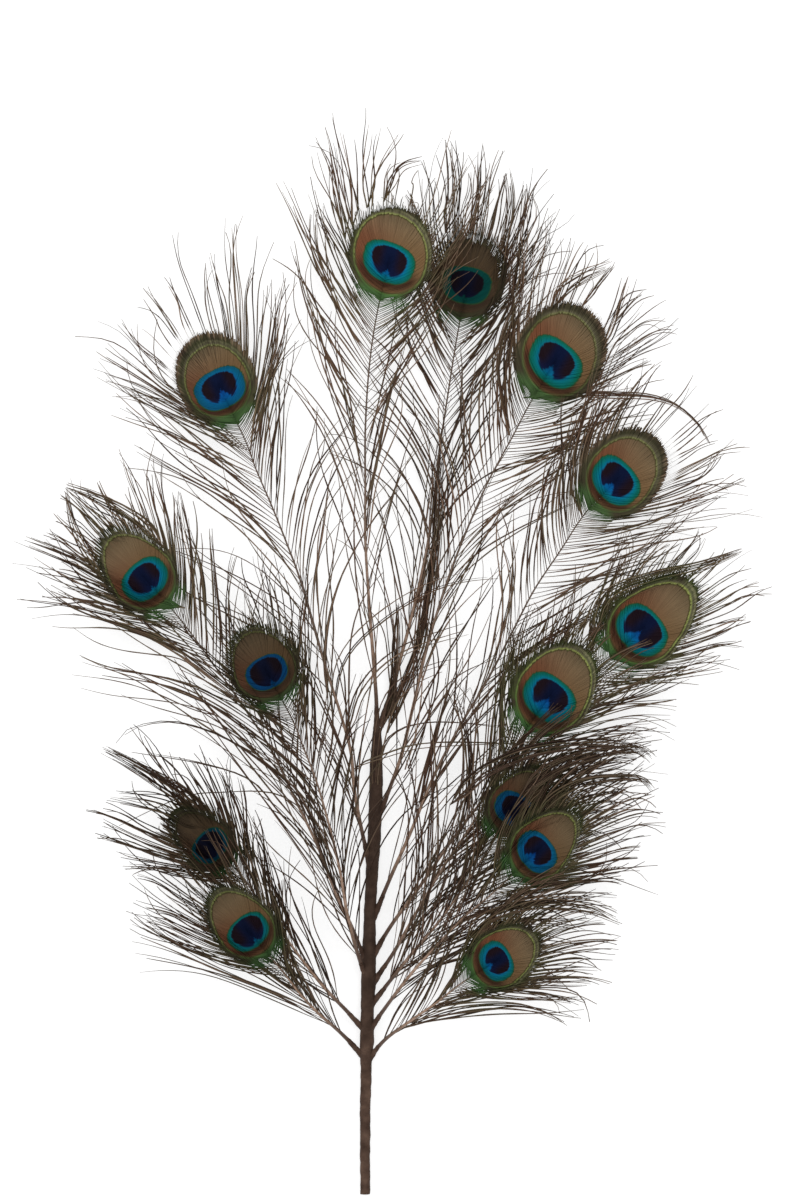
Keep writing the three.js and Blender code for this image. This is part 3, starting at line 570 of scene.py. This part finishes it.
def eye_edge(feather, angle):
    """Inside the disc, in half widths of the ring: the height of each barb's foot on the shaft, and its
    place on the egg-shaped edge, x = half sin a (1 + widen cos a) and y = middle + tall cos a. The lowest
    barbs fan out from their feet instead, and the disc ends there in a point."""
    round_eye = np.abs(angle)
    foot = np.interp(round_eye, FOOT_ROUND, FOOT_HEIGHT)
    middle, tall = (EYE_ABOVE + EYE_BELOW) / 2, (EYE_ABOVE - EYE_BELOW) / 2
    turn = angle * DEGREE
    x = EYE_HALF * np.sin(turn) * (1 + EYE_WIDEN * np.cos(turn)) / feather["slender"]
    y = middle + tall * np.cos(turn)
    y = y + feather["tall"] / (1 - feather["tall"]) * np.maximum(y - TALL_FROM, 0)
    fan = DEGREE * np.interp(round_eye, FAN_ROUND, FAN_ANGLE)
    low = smooth((round_eye - FAN_FROM) / FAN_OVER)
    x = x + low * (np.sign(angle) * FAN_LENGTH * np.sin(fan) - x)
    y = y + low * (foot + FAN_LENGTH * np.cos(fan) - y)
    uneven = 1 + rng.normal(0, 0.006, len(angle))
    return foot, x * uneven, middle + (y - middle) * uneven


def eye_ways(feather, line, angle, leave):
    """Paths in plan of the eye's barbs inside the disc: curves from their feet on the shaft to the edge,
    side by side, that cross the edge at the leaving angle."""
    foot, x, y = eye_edge(feather, angle)
    lean = 2 * np.arctan2(x, y - foot) - leave
    pull = np.hypot(x, y - foot)[:, None, None]
    start = np.stack([0 * foot, foot], axis=-1)[:, None]
    end = np.stack([x, y], axis=-1)[:, None]
    t = EYE_STATIONS[None, :, None]
    local = hermite(t, start, pull * headed(lean)[:, None], end, pull * headed(leave)[:, None])
    heading = line.heading(line.length)
    sideways = local[..., :1] * headed(heading + np.pi / 2)
    return line.at(line.length) + feather["ring"] * (sideways + local[..., 1:] * headed(heading))


def fringe_aims(feather, spread):
    """Each fringe barb's end angle and length, and whether it has broken off short. The aims go from
    those of the fringe's top to those of its sides, and past them to those of the side barbs."""
    count, outer = len(spread), np.abs(spread)
    by_side = lambda left, right: np.where(spread > 0, right, left)
    left, (top_tip, top_reach), right = feather["fringe"]
    side_tip, side_reach = by_side(left[0], right[0]), by_side(left[1], right[1])
    low_tip = by_side(-feather["left"][1], feather["right"][1])
    low_reach = by_side(feather["left"][2], feather["right"][2])
    past = smooth((outer - 1.0) / 0.22)
    tip = top_tip + (side_tip - top_tip) * np.minimum(outer, 1)
    tip = tip + past * (low_tip - tip) * 0.9
    tip = tip + drift(count, 4, 5.0) + rng.normal(0, 3.5, count)
    reach = top_reach + (side_reach - top_reach) * np.minimum(outer, 1)
    reach = reach + past * (low_reach - reach) * 0.9
    reach = reach * np.clip(1.03 + drift(count, 4, 0.05) - np.abs(rng.normal(0, 0.14, count)), 0.4, 1.05)
    worn = rng.uniform(size=count) < feather["worn"] * (1.2 - 0.5 * smooth(outer))
    stub = rng.uniform(0.6, 3.4, count) ** 2 * (1 - 0.8 * feather["halo"])
    return tip, np.where(worn, stub, reach), worn


def fringe_widths(feather, angle, reach):
    """Half widths of the fringe: widest at the foot and thin at the tip, and bare for a few millimetres
    past the disc where the feather has a halo."""
    count, share = len(angle), FRINGE_STATIONS
    lop = feather["halo_side"]
    bare = feather["halo"] * smooth((85 - np.abs(angle)) / 30)
    bare = bare * smooth(1 - abs(lop) * 0.35 + lop * angle / 50)
    near = 1 - smooth((share * reach[:, None] - BARE_LENGTH) / BARE_FADE)
    half = np.interp(share, (0, 0.2, 0.6, 1), (0.34, 0.31, 0.3, 0.14))
    half = half * rng.uniform(0.75, 1.2, count)[:, None] * thickness(feather)
    return half + bare[:, None] * near * (BARE_HALF - half)


def closed_disc(feather, line, plan):
    """How far the barbs have closed up, from 0 to 1: inside an egg ((|x| / half)^p + (|y - middle| /
    height)^p)^(1/p) < 1, a little ragged, and inside the point at its foot."""
    count = len(plan)
    x, y = local_place(feather, line, plan)
    rise = y - feather["tall"] * np.maximum(y - TALL_FROM, 0) - DISC_MIDDLE
    upright = np.maximum(rise, 0) / DISC_UP + np.maximum(-rise, 0) / DISC_DOWN
    across = np.abs(x) * feather["slender"] / DISC_HALF
    edge = (across**DISC_POWER + upright**DISC_POWER) ** (1 / DISC_POWER)
    edge = edge + rng.normal(0, 0.01, count)[:, None]
    opened = feather["murk"] * (1 - feather["halo"]) * rng.uniform(0, 0.35, count)[:, None]
    edge = edge + opened * smooth(y / 0.7)
    point = smooth((1.3 * (y + 1.62) - np.abs(x)) / 0.12) * smooth((-0.5 - y) / 0.3)
    return np.maximum(smooth((1.04 - edge) / 0.08), point)


def eye_barbs(feather, line):
    """The barbs of the eye with their loose ends. Each runs from the shaft to the disc's edge, side by
    side with its neighbours, and then on as a loose barb of the fringe. Inside the disc they are broad
    enough to close up, apart from a few that part near its top."""
    count, share = EYE_BARBS, FRINGE_STATIONS
    u = np.linspace(-1, 1, count)
    angle = EYE_REACH * u * (0.82 + 0.18 * u**2) + rng.uniform(-0.5, 0.5, count)
    spread = angle / FRINGE_SPREAD
    leave = DEGREE * np.sign(spread) * np.interp(np.abs(spread), LEAVE_SPREAD, LEAVE_ANGLE)
    inside = eye_ways(feather, line, angle, leave)

    tip, reach, worn = fringe_aims(feather, spread)
    heading = line.heading(line.length)
    wild = rng.uniform(size=count) < 0.12
    astray = rng.uniform(-WILD, WILD, count)
    bend = np.where(wild, astray, np.sign(spread) * rng.normal(9, 16, count)) * DEGREE
    plan = grow(inside[:, -1], heading + leave, heading + DEGREE * tip, reach, share, bend,
                rng.normal(0, 11, count) * DEGREE, rng.uniform(0, 1, count))
    pull = smooth(share / 0.7) * (1 - worn)[:, None]
    plan = cling(plan, pull, (3, 9), 0.3, 0.3 + 0.45 * feather["matted"])
    plan = np.concatenate([inside, plan[:, 1:]], axis=1)
    lift = rng.normal(0, 0.8, count)[:, None] * smooth(share / 0.3)
    level = np.broadcast_to(rng.uniform(-0.06, 0.06, count)[:, None], (count, EYE_STEPS + 1))
    lift = np.concatenate([level, lift[:, 1:]], axis=1)

    root = np.broadcast_to(np.linspace(0.2, 0.32, EYE_STEPS), (count, EYE_STEPS))
    half = np.concatenate([root, fringe_widths(feather, angle, reach)], axis=1)
    closed = closed_disc(feather, line, plan)
    t = np.concatenate([EYE_STATIONS, np.ones(len(share) - 1)])
    broad = feather["ring"] / 14.0 * np.interp(t, (0, 0.25, 1), (0.55, 0.8, 0.95))
    parted = (rng.uniform(size=count) < 0.12) * smooth((50 - np.abs(angle)) / 15)
    parted = parted * rng.uniform(0.5, 1, count)
    broad = broad * (1 - 0.75 * parted[:, None] * smooth((t - 0.7) / 0.15))
    half = half + closed * (broad - half)
    roll = np.zeros(half.shape)
    roll[:, EYE_STEPS:] = rng.normal(0, 0.5, count)[:, None] * smooth(share / 0.3)
    return barb_strips(feather, line, plan, lift, half, roll)


def hugging_barbs(feather, line):
    """More barbs low on the shaft: they leave it at about 15 degrees on either side and stay near it."""
    count, share = feather["hug"], BARB_STATIONS
    s = TAPED + 3 + rng.uniform(0, 1, count) ** 1.5 * 0.42 * line.length
    side = rng.choice([-1.0, 1.0], count)
    start = line.heading(s) + side * DEGREE * rng.normal(15, 6, count)
    end = line.heading(s + 50) + side * DEGREE * rng.normal(6, 14, count)
    reach = np.minimum(rng.uniform(50, 105, count), line.length - 2.4 * feather["ring"] - s)
    plan = grow(line.at(s), start, end, reach, share, rng.normal(0, 16, count) * DEGREE,
                rng.normal(0, 11, count) * DEGREE, rng.uniform(0, 1, count))
    lift = rng.normal(0.3, 1.2, count)[:, None] * smooth(share / 0.3)
    half = rng.uniform(0.3, 0.46, count)[:, None] * (0.5 + 0.5 * smooth(share / 0.1)) * (1 - 0.72 * share**3)
    roll = rng.normal(0, 0.5, count)[:, None]
    return barb_strips(feather, line, plan, lift, half, roll)


def strand_barbs(feather, line, count, spread, end_spread, way):
    """A bunch that keeps together: its barbs share one way in plan, set off at slightly different places
    and heights, spread from one root, and draw from the first spread to the second."""
    middle, share = Line(way), BARB_STATIONS
    first = rng.uniform(0, 0.07, count) * middle.length
    last = (1 - 0.05 * end_spread * rng.uniform(0, 1, count)) * middle.length
    s = first[:, None] + (last - first)[:, None] * share
    aside = rng.uniform(-1, 1, count)[:, None] * (spread + (end_spread - spread) * share)
    waver = rng.normal(0, 0.9, count)[:, None]
    waver = waver * np.sin(share * 5 + rng.uniform(0, 6, count)[:, None])
    aside = aside * smooth(s / 14.0) + smooth(s / 20.0) * waver
    plan = middle.at(s) + aside[..., None] * headed(middle.heading(s) + np.pi / 2)
    lift = rng.normal(0.8, 1.2, count)[:, None] * smooth(share / 0.3)
    half = rng.uniform(0.3, 0.46, count)[:, None] * (1 - 0.7 * share**3)
    roll = rng.normal(0, 0.5, count)[:, None]
    return barb_strips(feather, line, plan, lift, half, roll)


def shaft_tube(feather, line):
    """The bare shaft: a round tube on the shaft's line, thinning evenly to the middle of the eye."""
    s = np.linspace(TAPED - 1.0, line.length + 0.1 * feather["ring"], 90)
    t = (s - s[0]) / (s[-1] - s[0])
    past = np.maximum(s - line.length, 0)[:, None] * headed(line.heading(line.length))
    sink = -0.5 * smooth((s - line.length) / feather["ring"] + 3.4)
    path = lay_over(feather, line.at(s) + past, sink)
    corners = round_tube(path, 1.15 - 0.87 * t**0.7, 8)
    return corners, marks_of(feather, line, corners, (s - s[0])[None], np.array([0.5])), 1


def make_feather(name, feather, finishes):
    """One feather as one mesh: its shaft, the barbs of both sides and of the eye, and its strands."""
    line = Line(feather["route"])
    parts = [shaft_tube(feather, line), side_barbs(feather, line, 1), side_barbs(feather, line, -1),
             eye_barbs(feather, line), hugging_barbs(feather, line)]
    parts += [strand_barbs(feather, line, *strand) for strand in feather["strands"]]
    piece = build(name + "_barbs", parts, finishes)
    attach(piece, "root")
    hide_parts(name)


# --- The taped stem ---

# How wide the tape lies on the stem and on the quills, how many corners go round each, and how low it
# comes to the surface, in millimetres.
STEM_PITCH, STEM_SIDES = 7.5, 40
QUILL_PITCH, QUILL_SIDES = 4.5, 20
TAPE_LOWEST = 0.02


def wound(path, radius, pitch, sides, seed):
    """A tube wound with overlapping tape: the radius steps up at each edge of the tape, which climbs by
    one pitch a turn, and is uneven with a few slow waves and fine crinkles across the tape."""
    steps = np.linalg.norm(np.diff(path, axis=0), axis=-1)
    run = np.concatenate([[0], np.cumsum(steps)])[:, None]
    angle = (np.arange(sides) * 2 * np.pi / sides)[None]
    turns = run / pitch + angle / (2 * np.pi)
    phase = (turns + 0.13 * np.sin(run * 0.11 + seed)) % 1.0
    edge = smooth(phase / 0.2) - smooth((phase - 0.2) / 0.8)
    lumps = 0.09 * np.sin(run * 0.23 + seed + angle) + 0.06 * np.sin(run * 0.61 - 2 * angle + 2 * seed)
    crinkle = 0.05 * np.sin(run * 5.1 + 7 * angle + 3 * np.sin(run * 0.9)) * (0.4 + 0.6 * phase)
    corners = round_tube(path, radius[:, None] - 0.08 + 0.15 * edge + lumps + crinkle, sides)
    corners[..., 2] = np.maximum(corners[..., 2], TAPE_LOWEST)
    wind = np.broadcast_arrays(turns, phase, run)
    return corners, {"wind": np.stack(wind, axis=-1)[None]}, 0


def make_stem(material):
    """The stem along its line, its radius evened out and drawn in at the tip, and the taped foot of every
    quill, which thins towards the end of its tape."""
    y = np.arange(STEM[0, 1], STEM[-1, 1] + 0.4, 0.8)
    x, radius = np.interp(y, STEM[:, 1], STEM[:, 0]), np.interp(y, STEM[:, 1], STEM[:, 2])
    soft = np.hanning(15) / np.hanning(15).sum()
    radius = np.convolve(np.pad(radius, 7, "edge"), soft, "valid")
    radius = radius * (1 - 0.75 * smooth((y - STEM[-1, 1] + 6) / 6))
    centre = np.stack([x, y, np.maximum(stem_height(y), radius * 0.97)], axis=-1)
    parts = [wound(centre, radius, STEM_PITCH, STEM_SIDES, 0.0)]
    for k, feather in enumerate(FEATHERS.values()):
        line = Line(feather["route"])
        s = np.arange(0, TAPED + 0.2, 0.5)
        path = np.concatenate([line.at(s), height_at(feather, line.at(s))[:, None]], axis=-1)
        girth = 1.95 - 0.75 * s / TAPED - 0.15 * smooth((s - TAPED + 2.0) / 2.0)
        parts.append(wound(path, girth, QUILL_PITCH, QUILL_SIDES, 1.7 * k))
    piece = build("taped_stem", parts, [material])
    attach(piece, "root")
    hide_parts("stem")


# --- Finishes ---

class Term:
    """A number that a finish works out from place to place, so that sums of them read as sums."""

    def __init__(self, tree, socket):
        """The finish's node tree, and the socket that gives the number."""
        self.tree, self.socket = tree, socket

    def work(self, operation, *others):
        """This number with others, by the named operation."""
        node = self.tree.nodes.new("ShaderNodeMath")
        node.operation = operation
        for slot, value in enumerate((self,) + others):
            feed(self.tree, node.inputs[slot], value)
        return Term(self.tree, node.outputs[0])

    __add__ = partialmethod(work, "ADD")
    __sub__ = partialmethod(work, "SUBTRACT")
    __mul__ = partialmethod(work, "MULTIPLY")
    __truediv__ = partialmethod(work, "DIVIDE")
    __pow__ = partialmethod(work, "POWER")

    def ease(self, low, high):
        """0 up to low and 1 from high, eased between them; the other way round if low is the higher."""
        node = self.tree.nodes.new("ShaderNodeMapRange")
        node.interpolation_type = "SMOOTHSTEP"
        flip = low > high
        self.tree.links.new(self.socket, node.inputs["Value"])
        node.inputs["From Min"].default_value = high if flip else low
        node.inputs["From Max"].default_value = low if flip else high
        node.inputs["To Min"].default_value = 1.0 if flip else 0.0
        node.inputs["To Max"].default_value = 0.0 if flip else 1.0
        return Term(self.tree, node.outputs[0])


def egg(x, y, wide, below, above, middle, power):
    """1 on an egg-shaped outline and less inside it: ((|x| / wide)^p + (|y - middle| / height)^p)^(1/p),
    with its own height under and over the middle."""
    rise = y - middle
    upper = rise.work("MAXIMUM", 0.0) / (above - middle)
    lower = (rise * -1.0).work("MAXIMUM", 0.0) / (middle - below)
    across = x.work("ABSOLUTE") / wide
    return (across**power + (upper + lower) ** power) ** (1.0 / power)


def colour(code):
    """A colour from its six figures, as linear light."""
    parts = [int(code[k:k + 2], 16) / 255 for k in (0, 2, 4)]
    return [c / 12.92 if c <= 0.04045 else ((c + 0.055) / 1.055) ** 2.4 for c in parts] + [1.0]


def feed(tree, socket, value):
    """Give a socket its value: a term, another socket, a colour's six figures, or a number."""
    if isinstance(value, Term):
        value = value.socket
    if isinstance(value, bpy.types.NodeSocket):
        tree.links.new(value, socket)
    else:
        socket.default_value = colour(value) if isinstance(value, str) else value


def coats(tree, under, *layers):
    """A colour with others laid over it in turn, each by its own share from 0 to 1."""
    for share, over in layers:
        node = tree.nodes.new("ShaderNodeMix")
        node.data_type = "RGBA"
        for slot, value in ((0, share), (6, under), (7, over)):
            feed(tree, node.inputs[slot], value)
        under = node.outputs[2]
    return under


def ramp(tree, term, *stops):
    """A row of colours along a number, from stops of place and colour."""
    node = tree.nodes.new("ShaderNodeValToRGB")
    tree.links.new(term.socket, node.inputs[0])
    points = node.color_ramp.elements
    while len(points) < len(stops):
        points.new(0.5)
    for point, (place, code) in zip(points, stops):
        point.position, point.color = place, colour(code)
    return node.outputs[0]


def marks(tree, name):
    """The three numbers of a mesh's mark."""
    source = tree.nodes.new("ShaderNodeAttribute")
    source.attribute_name = name
    parts = tree.nodes.new("ShaderNodeSeparateXYZ")
    tree.links.new(source.outputs["Vector"], parts.inputs[0])
    return [Term(tree, out) for out in parts.outputs]


def noise(tree, size, detail=3.0):
    """Soft noise of the given size in millimetres, on Object coordinates."""
    node = tree.nodes.new("ShaderNodeTexNoise")
    node.inputs["Scale"].default_value = 1.0 / (size * MM)
    node.inputs["Detail"].default_value = detail
    place = tree.nodes.new("ShaderNodeTexCoord")
    tree.links.new(place.outputs["Object"], node.inputs["Vector"])
    return Term(tree, node.outputs[0])


def finish(name, roughness, constants):
    """An empty finish: a Principled shader with its constant values set on its own sockets."""
    material = bpy.data.materials.new(name)
    material.use_nodes = True
    shader = material.node_tree.nodes["Principled BSDF"]
    shader.inputs["Roughness"].default_value = roughness
    for key, value in constants.items():
        shader.inputs[key].default_value = value
    return material, material.node_tree, shader


def bump(tree, shader, height, distance, strength):
    """Relief from a number, in millimetres."""
    node = tree.nodes.new("ShaderNodeBump")
    node.inputs["Distance"].default_value = distance * MM
    node.inputs["Strength"].default_value = strength
    feed(tree, node.inputs["Height"], height)
    tree.links.new(node.outputs[0], shader.inputs["Normal"])


# The eye's outlines, each an egg in half widths of the ring: half width, lowest and highest place,
# middle, and power.
RING_EGG = (1.0, -0.8, 0.72, 0.1, 2.4)
HEART_EGG = (0.7, -0.58, 0.57, 0.16, 2.1)
BRONZE_EGG = (1.36, -1.16, 1.76, 0.25, 2.1)
LINE_EGG = (1.45, -1.27, 1.85, 0.25, 2.1)
RIM_EGG = (1.64, -1.9, 2.2, 0.3, 2.0)


def loose_colour(tree, tone, out, green, blotch, rim):
    """Loose barbs: browns by the barb's tone and by soft noise, with other tints over them."""
    browns = ramp(tree, tone * 0.7 + blotch * 0.45, (0.1, "39291f"), (0.35, "534135"), (0.55, "685345"),
                  (0.75, "5f5341"), (0.95, "826a5a"))
    near = rim.ease(2.0, 1.0) * (green * 0.6 + 0.05)
    return coats(tree, browns,
                 (noise(tree, 26.0, 1.0).ease(0.5, 0.66) * 0.35, "664536"),  # red stretches
                 (near * blotch.ease(0.3, 0.6), "46522b"),  # green near the eye
                 (out.ease(0.7, 1.0) * 0.3, "7c6856"))  # paler tips


def rim_colour(tree, x, y, line, green, blotch):
    """The dark rim outside the bronze: brown, greener in patches, and green at its foot."""
    foot = (y + x.work("ABSOLUTE") * 0.5).ease(-0.45, -1.0) * line.ease(1.5, 1.25) * (green * 0.5 + 0.5)
    return coats(tree, "3b3528",
                 (green * 0.5 * blotch.ease(0.3, 0.65), "4f6130"),
                 (y.ease(0.4, 1.5) * line.ease(1.1, 1.02) * 0.5, "6f6a54"),  # a paler edge at the top
                 (foot, "44683a"))


def bronze_colour(tree, x, y, short, ring, tone):
    """The bronze disc: from red-brown on the left to olive-brown on the right."""
    return coats(tree, "6e4530",
                 (x.ease(-1.4, 0.9), "70573b"),
                 (y.ease(0.4, 1.7) * 0.7, "786850"),  # paler upwards
                 (short.ease(1.2, 1.9) * (tone * 0.8 + 0.1), "4d4634"),  # dark barbs at the top
                 (ring.ease(1.5, 1.1) * y.ease(0.15, -0.6) * 0.9, "38231a"))  # dark under the ring


def ring_colour(tree, y, ring, hue, murk):
    """The blue ring: blue inside and green outside, turned bluer or greener by the feather's own hue, and
    darkened by painted shade on a dull eye.
    """
    blues = ramp(tree, ring, (0.25, "0c4a92"), (0.62, "08669a"), (0.8, "066c78"), (0.95, "0a604e"))
    return coats(tree, blues,
                 (hue.ease(0.0, 1.0) * 0.75, "0e3f96"),
                 (hue.ease(0.0, -1.0) * 0.95, "0b6148"),
                 (y.ease(0.1, -0.75) * (hue * 0.2 + 0.15), "074a86"),  # bluer at its foot
                 # painted shade: the ring of a dull eye is darkened towards blue-black
                 (murk * murk * 0.8, "062433"))


def heart_colour(tree, x, y, murk):
    """The dark heart: purple-black at its sides and blue-black along the middle, and darker still by painted
    shade on a dull eye.
    """
    return coats(tree, "1d1219",
                 (x.work("ABSOLUTE").ease(0.5, 0.1), "0b1430"),
                 (y.ease(-0.1, -0.6), "101a3c"),  # bluer at its foot
                 # painted shade: the heart of a dull eye is darkened further
                 (murk * murk * 0.7, "0d0b12"))


def barb_finish():
    """Barbs: brown with olive and red lights, the eye's rings of colour where the barbs lie closed, and
    the fine comb of barbules as relief. A barb's own tone makes every outline a little ragged."""
    material, tree, shader = finish("silky_barbs", 0.55, {"Specular IOR Level": 0.05})
    x, y, depth = marks(tree, "eye")
    along, side, tone = marks(tree, "barb")
    green, dark, out = marks(tree, "vane")
    hue, slender, tall = marks(tree, "cast")
    murk, swell, band = marks(tree, "look")
    ragged = (tone - 0.5) * 0.035
    blotch = noise(tree, 9.0)

    ring = egg(x, y, *RING_EGG) + ragged
    heart = egg(x, y, *HEART_EGG) / swell + ragged * 1.6
    notch = (depth - y) * 0.72 - x.work("ABSOLUTE") + ragged * 2.0
    thin = x * slender * (band + 1.0)
    short = (y - (y - TALL_FROM).work("MAXIMUM", 0.0) * tall) * (band + 1.0)
    bronze = egg(thin, short, *BRONZE_EGG) + ragged * 0.7
    line = egg(thin, short, *LINE_EGG) + ragged * 0.7
    rim = egg(thin, short, *RIM_EGG) + ragged * 1.5

    top = y.ease(-1.2, 0.9)
    line_colour = coats(tree, "4d6a34", (top, "88904f"))
    patchy = blotch.ease(0.2, 0.5) * 0.55 + 0.45
    second_line = line.ease(1.13, 1.1) * line.ease(1.05, 1.08) * x.ease(-0.6, 0.4) * top * green
    eye = coats(tree, loose_colour(tree, tone, out, green, blotch, rim),
                (rim.ease(1.1, 0.95), rim_colour(tree, x, y, line, green, blotch)),
                (second_line, "7d7a5c"),
                (line.ease(1.03, 0.99) * patchy * (green * 0.9 + 0.2), line_colour),
                (line.ease(0.985, 0.965), "4a4429"),  # the band inside the line
                (bronze.ease(1.02, 0.98), bronze_colour(tree, x, y, short, ring, tone)),
                # dull brown over the eye: partly its own worn look, partly painted shade
                (line.ease(1.15, 1.05) * murk * murk * (tone * 0.4 + 0.75), "3b3126"),  # dull brown
                (ring.ease(1.07, 1.02), "2a4a2c"),  # a green edge
                (ring.ease(1.02, 0.98), ring_colour(tree, y, ring, hue, murk)),
                (heart.ease(1.05, 0.95) * notch.ease(0.06, -0.06), heart_colour(tree, x, y, murk)))

    inside = bronze.ease(1.05, 0.95)
    uneven = (inside * -0.24 + short.ease(0.9, 1.8) * 0.2 + 0.4) * (tone - 0.5) + 1.0
    shade = dark * (inside * 0.2 - 0.75) + 1.0
    ridge = side.work("ABSOLUTE") * -0.2 + 1.1
    lightness = tree.nodes.new("ShaderNodeHueSaturation")
    feed(tree, lightness.inputs["Value"], uneven * shade * ridge)
    feed(tree, lightness.inputs["Color"], eye)
    feed(tree, shader.inputs["Base Color"], lightness.outputs[0])

    feed(tree, shader.inputs["Metallic"], inside * 0.45)
    feed(tree, shader.inputs["Roughness"], inside * -0.1 + 0.6)
    comb = (along * 14.0 + side.work("ABSOLUTE") * -5.0).work("SINE") + noise(tree, 0.6) * 0.8
    bump(tree, shader, comb, 0.12, 0.5)
    return material


def quill_finish():
    """Bare shaft: dull brown horn with faint grain, darker by the tape and towards the eye."""
    material, tree, shader = finish("horn_shaft", 0.45, {"Specular IOR Level": 0.3})
    along = marks(tree, "barb")[0]
    horn = ramp(tree, noise(tree, 3.0), (0.3, "644f40"), (0.5, "866c5a"), (0.7, "a08676"))
    tint = coats(tree, horn,
                 (along.ease(40.0, 150.0) * 0.85, "46372c"),
                 (along.ease(24.0, 4.0) * 0.9, "473328"))
    feed(tree, shader.inputs["Base Color"], tint)
    bump(tree, shader, noise(tree, 0.7) + (along * 0.9).work("SINE") * 0.1, 0.15, 0.4)
    return material


def tape_finish():
    """Floral tape: matt chocolate-brown crepe, darker in the laps, with stretched crinkles."""
    material, tree, shader = finish("crepe_tape", 0.78, {"Specular IOR Level": 0.15})
    wind, phase, run = marks(tree, "wind")
    crepe = ramp(tree, noise(tree, 6.0, 4.0), (0.3, "38281f"), (0.5, "4a382e"), (0.72, "5c483c"))
    lap = phase.ease(0.12, 0.0) + phase.ease(0.92, 1.0)
    tint = coats(tree, crepe,
                 (lap * 0.45, "281b14"),
                 (run.ease(50.0, 130.0) * 0.5, "2a1f18"))  # in the feathers' shade
    feed(tree, shader.inputs["Base Color"], tint)
    weave = (run * 9.0 + wind * 5.0).work("SINE") * 0.25 + noise(tree, 0.8, 4.0)
    bump(tree, shader, weave, 0.2, 0.6)
    return material


# --- The set, in metres ---

WHITE = (1, 1, 1, 1)
FLOOR_HALF, FLOOR_DROP = 4.0, 0.0005
FLOOR_GREY, FLOOR_GLOW = (0.4, 0.4, 0.4, 1), 0.68
ROOM_LIGHT = 0.76
LIGHTS = {"overhead": ((0.3, 0.2, 2.0), 1.6, 17), "upper_left": ((-1.4, 1.2, 1.8), 1.0, 10)}
FRAME_MIDDLE, FRAME_TALL, FRAME_LEVEL = (0.0011, 0.03025), 0.66, 0.02
CAMERA_DISTANCE, SENSOR = 2.5, 36.0  # the sensor is in millimetres


def floor():
    """A wide flat square under the spray, pale and matt, softly lit from within like a light table."""
    corners = [(x * FLOOR_HALF, y * FLOOR_HALF, 0) for x, y in ((-1, -1), (1, -1), (1, 1), (-1, 1))]
    mesh = bpy.data.meshes.new("floor")
    mesh.from_pydata(corners, [], [(0, 1, 2, 3)])
    material, _, shader = finish("pale_floor", 0.9, {
        "Base Color": FLOOR_GREY, "Emission Color": WHITE, "Emission Strength": FLOOR_GLOW})
    mesh.materials.append(material)
    piece = bpy.data.objects.new("floor", mesh)
    bpy.context.scene.collection.objects.link(piece)
    piece.location.z = -FLOOR_DROP


def soft_light(name, place, size, power):
    """A square studio light that faces the middle of the spray: it tips by its angle from straight
    above, and turns to the side that it stands on."""
    data = bpy.data.lights.new(name, "AREA")
    data.size, data.energy = size, power
    lamp = bpy.data.objects.new(name, data)
    lamp.location = place
    x, y, z = place
    lamp.rotation_euler = (math.atan2(math.hypot(x, y), z), 0, math.atan2(x, -y))
    bpy.context.scene.collection.objects.link(lamp)


def studio():
    """Even white light from all round, a broad light overhead and one from the upper left."""
    scene = bpy.context.scene
    scene.view_settings.view_transform = "Standard"
    world = bpy.data.worlds.new("white_room")
    world.use_nodes = True
    background = world.node_tree.nodes["Background"]
    background.inputs["Color"].default_value = WHITE
    background.inputs["Strength"].default_value = ROOM_LIGHT
    scene.world = world
    for name, (place, size, power) in LIGHTS.items():
        soft_light(name, place, size, power)


def camera():
    """Straight down on the spray, with a frame 660 millimetres tall at the middle of its depth."""
    data = bpy.data.cameras.new("camera")
    data.sensor_fit = "AUTO"
    data.sensor_width = SENSOR
    data.lens = SENSOR * CAMERA_DISTANCE / FRAME_TALL
    seen = bpy.data.objects.new("camera", data)
    seen.location = (*FRAME_MIDDLE, FRAME_LEVEL + CAMERA_DISTANCE)
    bpy.context.scene.collection.objects.link(seen)
    bpy.context.scene.camera = seen


camera()
studio()
floor()
feather_finishes = [barb_finish(), quill_finish()]
make_stem(tape_finish())
for feather_name, feather_data in FEATHERS.items():
    make_feather(feather_name, feather_data, feather_finishes)
